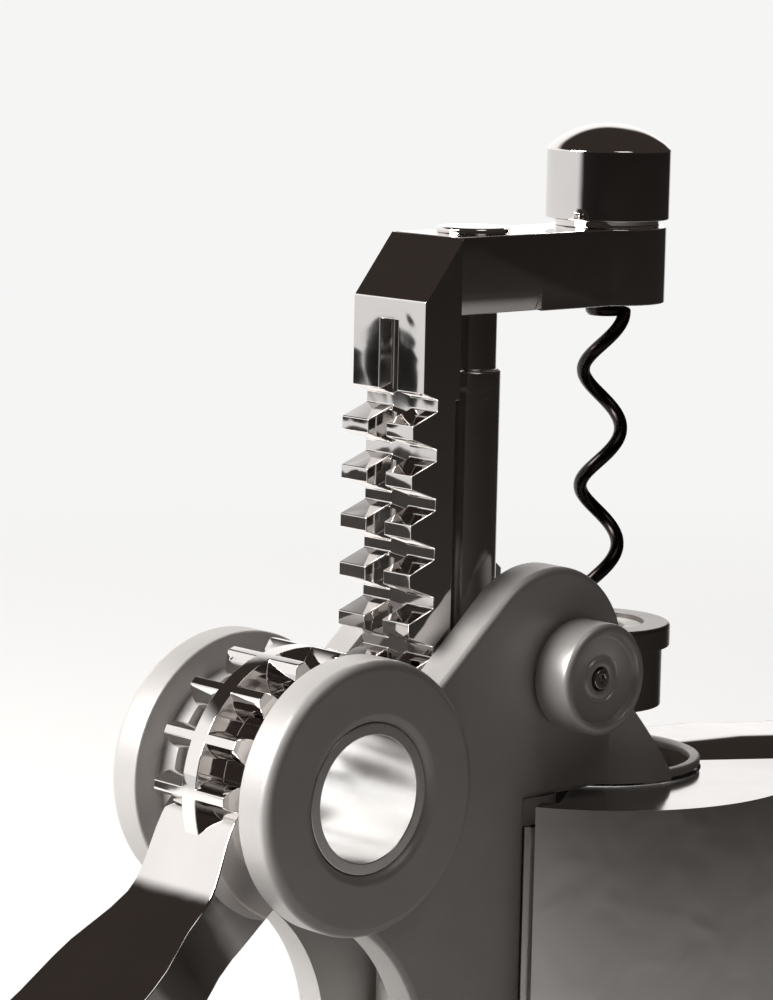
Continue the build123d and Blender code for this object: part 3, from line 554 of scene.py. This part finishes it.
# Along the lever: reach from the pivot, width, top and underside, in millimetres.
LEVER_SECTIONS = (
    (11.5, 13.3, -7.6, 6.1), (24.0, 14.4, -2.4, 6.0), (36.0, 19.6, -2.4, 6.0), (64.0, 24.6, -2.7, 6.3),
    (122.0, 27.0, -3.2, 6.8), (143.0, 25.4, -2.5, 6.1), (149.5, 21.0, -2.0, 5.6), (151.4, 17.0, -1.5, 5.1),
    (152.0, 12.0, -1.0, 4.6),
)
# Where the bar has a section.
LEVER_REACHES = (
    11.5, 13.0, 14.5, 16.0, 17.5, 19.0, 20.5, 22.0, 24.0, 27.0, 30.0, 33.0, 36.0, 42.0, 50.0, 58.0, 66.0,
    76.0, 88.0, 100.0, 112.0, 122.0, 130.0, 137.0, 143.0, 146.5, 149.5, 151.0, 151.8, 152.0,
)


LEVER_ROUNDING = 0.0019
LEVER_PAD_SIZE = (0.052, 0.017, 0.0026)
LEVER_PAD_RIBS = 13
LEVER_PAD_PLACE = (0.104, 0.0, 0.0062)      # along the lever and towards its underside


class CORKSCREW_OT_lever(bpy.types.Operator):
    """Flared lever arm with a ribbed pad and two screws on its underside"""
    bl_idname = "corkscrew.lever"
    bl_label = "Lever arm"

    def execute(self, context):
        turn = Matrix((
            (math.cos(LEVER_ANGLE), 0.0, -math.sin(LEVER_ANGLE)),
            (0.0, 1.0, 0.0),
            (math.sin(LEVER_ANGLE), 0.0, math.cos(LEVER_ANGLE)),
        )).to_4x4()
        place = Matrix.Translation(PIVOT) @ turn
        stations = []
        for reach in LEVER_REACHES:
            width, top, under = smooth_between(LEVER_SECTIONS, reach)
            stations.append((reach * MM, 0.0, (top + under) / 2 * MM, width * MM, (under - top) * MM))
        arm = extruded_bar("lever_arm_forged", stations, LEVER_ROUNDING)
        arm.matrix_world = place
        settle(arm, "lever", "mirror_chrome", "lever_arm")
        pad = ribbed_pad("lever_pad_ribbed", *LEVER_PAD_SIZE, LEVER_PAD_RIBS)
        pad.matrix_world = place @ Matrix.Translation(LEVER_PAD_PLACE)
        settle(pad, "lever", "soft_pad", "lever_pad")
        softened("lever_screws", context.scene.corkscrew.tooth_edge)
        return {"FINISHED"}


# The worm's wire starts at its point and climbs as a helix into the shank.
WORM_PITCH = 15.6 * MM
WORM_HELIX_RADIUS = 2.6 * MM
WORM_WIRE_RADIUS = 0.9 * MM
WORM_PHASE = math.radians(98.0)
WORM_TIP_Z = 5.0 * MM
WORM_TOP_Z = 61.3 * MM
WORM_TAPER = 7.0 * MM
WORM_STEPS = 132
WORM_POINT_SHARE = 0.14     # of the wire's radius, left at the ground point


class CORKSCREW_OT_worm(bpy.types.Operator):
    """Open helix worm with a ground point, on its shank, and the clip that holds it"""
    bl_idname = "corkscrew.worm"
    bl_label = "Worm"

    def execute(self, context):
        deselect()
        bpy.ops.curve.primitive_nurbs_path_add(location=(0.0, 0.0, 0.0))
        wire = bpy.context.active_object
        wire.name = "worm_wire"
        spline = wire.data.splines[0]
        spline.points.add(WORM_STEPS - len(spline.points))
        for step, point in enumerate(spline.points):
            rise = (WORM_TOP_Z - WORM_TIP_Z) * step / (WORM_STEPS - 1)
            angle = WORM_PHASE + math.tau * rise / WORM_PITCH
            point.co = (
                WORM_HELIX_RADIUS * math.cos(angle),
                WORM_HELIX_RADIUS * math.sin(angle),
                WORM_TIP_Z + rise,
                1.0,
            )
            point.radius = max(WORM_POINT_SHARE, min(1.0, (rise / WORM_TAPER) ** 0.7))
        spline.order_u = 4
        spline.use_endpoint_u = True
        spline.resolution_u = 4
        wire.data.dimensions = "3D"
        wire.data.bevel_depth = WORM_WIRE_RADIUS
        wire.data.bevel_resolution = 6
        wire.data.use_fill_caps = True
        make_active(wire)
        bpy.ops.object.convert(target="MESH")
        wire = bpy.context.active_object
        smooth(wire, 50.0)
        settle(wire, "worm", "dark_worm")
        shank_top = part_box("worm")[1][2] / MM
        shank_profile = (
            (0.0, 60.7), (2.1, 60.7), (2.5, 61.1), (2.6, 61.6), (2.6, shank_top - 0.4), (2.2, shank_top),
            (0.0, shank_top),
        )
        shank = spun("worm_shank", shank_profile, (0.0, 0.0, 0.0), (0.0, 0.0, 1.0), 48)
        smooth(shank, 40.0)
        settle(shank, "worm", "dark_worm", "worm")
        softened("worm_clip", context.scene.corkscrew.tooth_edge)
        return {"FINISHED"}


# Turned profile of a side knob: radius, and distance from the middle plane, in millimetres.
KNOB_PROFILE = (
    (2.6, 12.3), (6.8, 12.3), (7.12, 12.42), (7.3, 12.75), (7.3, 17.35), (7.24, 17.7), (7.04, 17.98),
    (6.72, 18.14), (6.32, 18.2), (6.02, 18.16), (5.9, 18.02), (5.82, 17.6), (5.66, 17.3), (5.3, 17.2),
    (3.3, 17.2), (3.16, 17.12), (3.06, 16.98), (2.72, 16.98), (2.62, 17.12), (2.48, 17.2), (1.75, 17.2),
    (1.58, 17.1), (1.5, 16.9), (1.5, 15.3), (2.6, 15.3), (2.6, 12.3),
)


class CORKSCREW_OT_latch(bpy.types.Operator):
    """Turned side knobs with their screws, and the axle, pawl and spring of the latch"""
    bl_idname = "corkscrew.latch"
    bl_label = "Latch and side knobs"

    def execute(self, context):
        low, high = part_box("latch_axle")
        centre = (Vector(low) + Vector(high)) / 2
        for side, direction in (("left", 1.0), ("right", -1.0)):
            knob = spun(f"{side}_knob_turned", KNOB_PROFILE, centre, (0.0, direction, 0.0), 96)
            smooth(knob, 38.0)
            settle(knob, "latch", "knob_metal", f"{side}_side_knob")
        edge = context.scene.corkscrew.tooth_edge
        for node in ("left_knob_screw", "right_knob_screw", "latch_axle", "latch_pawl"):
            softened(node, edge)
        softened("latch_spring", 0.0)
        return {"FINISHED"}


# Along a gripping handle: X, middle from the centre, middle height, width and height, in millimetres.
HANDLE_SECTIONS = (
    (15.0, 17.6, -20.5, 17.0, 37.0), (34.0, 16.6, -20.5, 17.6, 35.0), (62.0, 15.2, -20.5, 16.6, 31.0),
    (92.0, 13.9, -20.5, 15.4, 27.4), (112.0, 13.2, -20.5, 14.4, 24.6), (119.0, 13.0, -20.5, 12.6, 21.0),
    (121.4, 13.0, -20.5, 9.6, 16.0), (122.0, 13.0, -20.5, 7.0, 12.0),
)
HANDLE_PLACES = (
    15.0, 20.0, 26.0, 34.0, 42.0, 50.0, 58.0, 66.0, 74.0, 82.0, 90.0, 98.0, 105.0, 112.0, 115.5, 118.0,
    119.6, 120.8, 121.6, 122.0,
)
HANDLE_ROUNDING = 0.0042
SHELL_END_X = 0.0245        # the shell ends inside the handle
GRIP_PAD_SIZE = (0.068, 0.012, 0.0030)
GRIP_PAD_RIBS = 17
GRIP_PAD_PLACE = (0.078, 0.0218, -0.0205)
GRIP_PAD_LEAN = math.atan2(4.45, 68.0)      # follows the taper of the handle


class CORKSCREW_OT_grips(bpy.types.Operator):
    """Gripping handles: barrel shell, tapered handle, ribbed pad and rubber jaw on each side"""
    bl_idname = "corkscrew.grips"
    bl_label = "Gripping handles"

    def execute(self, context):
        edge = context.scene.corkscrew.casting_edge
        for side, sign in (("left", 1.0), ("right", -1.0)):
            shell = softened(f"{side}_grip_handle", edge)
            shell.name = f"{side}_barrel_shell"
            make_active(shell)
            bpy.ops.object.mode_set(mode="EDIT")
            bpy.ops.mesh.select_all(action="SELECT")
            bpy.ops.mesh.bisect(
                plane_co=(SHELL_END_X, 0.0, 0.0), plane_no=(1.0, 0.0, 0.0), clear_outer=True, use_fill=True,
            )
            bpy.ops.object.mode_set(mode="OBJECT")
            stations = []
            for place in HANDLE_PLACES:
                middle, height, width, tall = smooth_between(HANDLE_SECTIONS, place)
                stations.append((place * MM, sign * middle * MM, height * MM, width * MM, tall * MM))
            handle = extruded_bar(f"{side}_handle_forged", stations, HANDLE_ROUNDING, 6)
            settle(handle, f"{side}_grip", "grip_shell")
            pad = ribbed_pad(f"{side}_pad_ribbed", *GRIP_PAD_SIZE, GRIP_PAD_RIBS)
            facing = Matrix.Rotation(-sign * math.radians(90.0), 4, "X")
            lean = Matrix.Rotation(-sign * GRIP_PAD_LEAN, 4, "Z")
            pad_x, pad_y, pad_z = GRIP_PAD_PLACE
            pad.matrix_world = Matrix.Translation((pad_x, sign * pad_y, pad_z)) @ lean @ facing
            settle(pad, f"{side}_grip", "soft_pad", f"{side}_grip_pad")
            softened(f"{side}_jaw", edge)
        return {"FINISHED"}


class CORKSCREW_OT_fasteners(bpy.types.Operator):
    """Screws, pins, dowels, bushes and the wear strip"""
    bl_idname = "corkscrew.fasteners"
    bl_label = "Fasteners and bearings"

    def execute(self, context):
        edge = context.scene.corkscrew.tooth_edge
        for node in ("left_cheek_screws", "right_cheek_screws", "guide_screws", "left_hinge_pin",
                     "right_hinge_pin", "arm_dowels", "rod_bush", "rack_shoe", "worm_nut"):
            softened(node, edge)
        return {"FINISHED"}


# ---- stage ----------------------------------------------------------------------------
# The camera's place, its axes and its lens in millimetres.
CAMERA_PLACE = (-0.369106, -0.354387, 0.110719)
CAMERA_RIGHT = (0.73351278, -0.67935014, 0.02103301)
CAMERA_UP = (0.08410158, 0.12142764, 0.98903097)
CAMERA_BACK = (-0.67445232, -0.72369794, 0.14620314)
CAMERA_LENS = 139.0176
SENSOR_WIDTH = 36.0
PALE = (0.915, 0.912, 0.908, 1.0)
PALE_FLOOR = (0.88, 0.875, 0.87, 1.0)
DARK_FLOOR = (0.05, 0.045, 0.042, 1.0)
FLOOR_SIZE = 40.0
FLOOR_GAP = 0.0005
# Direction of the bright window behind the object, and the tones of the room that is mirrored.
WINDOW = (-0.13, 0.991, 0.0)
WINDOW_LIGHT = (1.0, 0.985, 0.97, 1.0)
ROOM_DARK = (0.034, 0.027, 0.024, 1.0)
ROOM_STRENGTH = 1.25
LAMP_COLOUR = (1.0, 0.985, 0.965)
# Square lamps: name, place, aim, size, energy, and whether polished metal mirrors it.
LAMPS = (
    ("softbox_key", (-1.05, 0.42, 0.66), (-0.02, 0.0, 0.02), 0.6, 28.0, True),
    ("softbox_top", (0.25, 0.75, 1.25), (0.0, 0.0, 0.0), 0.7, 9.0, False),
    ("softbox_edge", (-0.08, -0.62, 1.0), (-0.04, 0.0, 0.02), 0.42, 1.0, True),
)
# Cards that the head and the teeth mirror: name, place, width, height, tone.
FLAG_FACING = (0.67, -0.72, 0.0)
FLAGS = (
    ("flag_head", (-0.202, 0.1745, 0.0290), 0.0110, 0.0175, 0.012),
    ("flag_head_corner", (-0.202, 0.1875, 0.0255), 0.0060, 0.0120, 0.012),
    ("flag_teeth", (-0.202, 0.1770, -0.0170), 0.0300, 0.0640, 0.11),
)


def add_flag(name, place, width, height, tone):
    """Small dark oval card that only reflections see."""
    deselect()
    bpy.ops.mesh.primitive_circle_add(vertices=48, radius=0.5, fill_type="NGON", location=place)
    card = bpy.context.active_object
    card.name = name
    card.scale = (width, height, 1.0)
    card.rotation_euler = Vector(FLAG_FACING).to_track_quat("Z", "Y").to_euler()
    material = bpy.data.materials.new(name)
    material.use_nodes = True
    shader = material.node_tree.nodes["Principled BSDF"]
    shader.inputs["Base Color"].default_value = (tone, tone * 0.92, tone * 0.88, 1.0)
    shader.inputs["Roughness"].default_value = 0.9
    card.data.materials.append(material)
    card.visible_camera = False
    card.visible_shadow = False
    card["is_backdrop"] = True


def smooth_mask(tree, value, low, high, most=1.0):
    """0 at the low value and the most at the high one, without kinks."""
    mask = add_node(
        tree, "ShaderNodeMapRange", interpolation_type="SMOOTHSTEP",
        From_Min=low, From_Max=high, To_Max=most,
    )
    tree.links.new(value, mask.inputs["Value"])
    return mask.outputs["Result"]


def combined(tree, operation, first, second):
    """Two values put together by a Math node."""
    math_node = add_node(tree, "ShaderNodeMath", operation=operation)
    tree.links.new(first, math_node.inputs[0])
    tree.links.new(second, math_node.inputs[1])
    return math_node.outputs[0]


def window_mask(tree, direction, low, high):
    """1 towards the bright window that lies behind the object, 0 towards the dark room."""
    window = add_node(tree, "ShaderNodeVectorMath", operation="DOT_PRODUCT")
    window.inputs[1].default_value = WINDOW
    tree.links.new(direction, window.inputs[0])
    return smooth_mask(tree, window.outputs["Value"], low, high)


def finish_floor(tree, shader):
    """Lets the floor run out into the pale backdrop, and keeps its dark side out of the bounce."""
    link = tree.links.new
    geometry = tree.nodes.new("ShaderNodeNewGeometry")
    distance = add_node(tree, "ShaderNodeVectorMath", operation="LENGTH")
    link(geometry.outputs["Position"], distance.inputs[0])
    heading = add_node(tree, "ShaderNodeVectorMath", operation="NORMALIZE")
    link(geometry.outputs["Position"], heading.inputs[0])
    path = tree.nodes.new("ShaderNodeLightPath")
    # the camera sees a pale floor all round, reflections only towards the window
    wedge = window_mask(tree, heading.outputs["Vector"], 0.15, 0.42)
    seen = combined(tree, "MAXIMUM", wedge, path.outputs["Is Camera Ray"])
    far = smooth_mask(tree, distance.outputs["Value"], 0.22, 0.9)
    glow = add_node(tree, "ShaderNodeEmission", Strength=1.0)
    glow.inputs["Color"].default_value = PALE
    blend = tree.nodes.new("ShaderNodeMixShader")
    link(combined(tree, "MULTIPLY", far, seen), blend.inputs[0])
    link(shader.outputs[0], blend.inputs[1])
    link(glow.outputs[0], blend.inputs[2])
    link(blend.outputs[0], tree.nodes["Material Output"].inputs["Surface"])
    near = smooth_mask(tree, distance.outputs["Value"], 0.46, 0.20, most=0.30)
    tone = add_node(tree, "ShaderNodeMix", data_type="RGBA")
    tone.inputs[MIX_FIRST].default_value = DARK_FLOOR
    tone.inputs[MIX_SECOND].default_value = PALE_FLOOR
    link(combined(tree, "MAXIMUM", seen, near), tone.inputs[MIX_AMOUNT])
    link(tone.outputs[MIX_COLOUR], shader.inputs["Base Color"])


def add_floor():
    """Wide floor just under the object."""
    floor_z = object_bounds()[0][2] - FLOOR_GAP
    deselect()
    bpy.ops.mesh.primitive_plane_add(size=FLOOR_SIZE, location=(0.0, 0.0, floor_z))
    floor = bpy.context.active_object
    floor.name = "studio_floor"
    material = bpy.data.materials.new("Pale floor")
    material.use_nodes = True
    shader = material.node_tree.nodes["Principled BSDF"]
    shader.inputs["Roughness"].default_value = 0.8
    shader.inputs["Specular IOR Level"].default_value = 0.2
    finish_floor(material.node_tree, shader)
    floor.data.materials.append(material)
    floor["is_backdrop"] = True


def make_world():
    """Pale backdrop for the camera; a dark room with a bright low window for everything else."""
    world = bpy.data.worlds.new("Studio world")
    world.use_nodes = True
    tree = world.node_tree
    tree.nodes.clear()
    link = tree.links.new
    direction = tree.nodes.new("ShaderNodeTexCoord").outputs["Generated"]
    split = tree.nodes.new("ShaderNodeSeparateXYZ")
    link(direction, split.inputs[0])
    window = window_mask(tree, direction, 0.33, 0.46)
    low = smooth_mask(tree, split.outputs["Z"], 0.62, 0.46)
    room = add_node(tree, "ShaderNodeMix", data_type="RGBA")
    room.inputs[MIX_FIRST].default_value = ROOM_DARK
    room.inputs[MIX_SECOND].default_value = WINDOW_LIGHT
    link(combined(tree, "MULTIPLY", window, low), room.inputs[MIX_AMOUNT])
    room_light = add_node(tree, "ShaderNodeBackground", Strength=ROOM_STRENGTH)
    link(room.outputs[MIX_COLOUR], room_light.inputs["Color"])
    plain = add_node(tree, "ShaderNodeBackground", Strength=1.0)
    plain.inputs["Color"].default_value = PALE
    path = tree.nodes.new("ShaderNodeLightPath")
    choice = tree.nodes.new("ShaderNodeMixShader")
    link(path.outputs["Is Camera Ray"], choice.inputs[0])
    link(room_light.outputs[0], choice.inputs[1])
    link(plain.outputs[0], choice.inputs[2])
    link(choice.outputs[0], tree.nodes.new("ShaderNodeOutputWorld").inputs["Surface"])
    return world


def add_lamp(name, place, target, size, energy, mirrored):
    """Square soft lamp that looks at the target."""
    light = bpy.data.lights.new(name, "AREA")
    light.shape = "SQUARE"
    light.size = size
    light.energy = energy
    light.color = LAMP_COLOUR
    lamp = bpy.data.objects.new(name, light)
    lamp.location = place
    lamp.rotation_euler = (Vector(target) - Vector(place)).to_track_quat("-Z", "Y").to_euler()
    lamp.visible_glossy = mirrored
    bpy.context.scene.collection.objects.link(lamp)


def add_camera():
    """The studio camera, as the scene's own."""
    lens = bpy.data.cameras.new("studio_camera")
    lens.lens = CAMERA_LENS
    lens.sensor_width = SENSOR_WIDTH
    lens.clip_start = 0.01
    lens.clip_end = 60.0
    camera = bpy.data.objects.new("studio_camera", lens)
    axes = Matrix((CAMERA_RIGHT, CAMERA_UP, CAMERA_BACK)).transposed().to_4x4()
    camera.matrix_world = Matrix.Translation(CAMERA_PLACE) @ axes
    bpy.context.scene.collection.objects.link(camera)
    bpy.context.scene.camera = camera


class CORKSCREW_OT_stage(bpy.types.Operator):
    """Pale floor, dark cards, room, soft lamps and the camera"""
    bl_idname = "corkscrew.stage"
    bl_label = "Studio stage"

    def execute(self, context):
        add_floor()
        for flag in FLAGS:
            add_flag(*flag)
        context.scene.world = make_world()
        for lamp in LAMPS:
            add_lamp(*lamp)
        add_camera()
        context.scene.view_settings.view_transform = "Standard"
        return {"FINISHED"}


class CORKSCREW_PT_panel(bpy.types.Panel):
    """Lists the corkscrew's settings and the steps that build it"""
    bl_idname = "CORKSCREW_PT_panel"
    bl_label = "Lever Corkscrew"
    bl_space_type = "VIEW_3D"
    bl_region_type = "UI"
    bl_category = "Corkscrew"

    def draw(self, context):
        settings = context.scene.corkscrew
        for name in ("casting_edge", "tooth_edge", "chrome_colour", "casting_colour", "grip_colour",
                     "worm_colour"):
            self.layout.prop(settings, name)
        for step in STEPS:
            self.layout.operator(step.bl_idname)


STEPS = (
    CORKSCREW_OT_castings,
    CORKSCREW_OT_carriage,
    CORKSCREW_OT_drum,
    CORKSCREW_OT_lever,
    CORKSCREW_OT_worm,
    CORKSCREW_OT_latch,
    CORKSCREW_OT_grips,
    CORKSCREW_OT_fasteners,
    CORKSCREW_OT_stage,
)


def register():
    for kind in (CorkscrewSettings, *STEPS, CORKSCREW_PT_panel):
        bpy.utils.register_class(kind)
    bpy.types.Scene.corkscrew = bpy.props.PointerProperty(type=CorkscrewSettings)


def unregister():
    del bpy.types.Scene.corkscrew
    for kind in reversed((CorkscrewSettings, *STEPS, CORKSCREW_PT_panel)):
        bpy.utils.unregister_class(kind)


def main():
    register()
    MATERIALS.update(make_materials(bpy.context.scene.corkscrew))
    for step in STEPS:
        package, name = step.bl_idname.split(".")
        getattr(getattr(bpy.ops, package), name)()


if __name__ == "__main__":
    main()
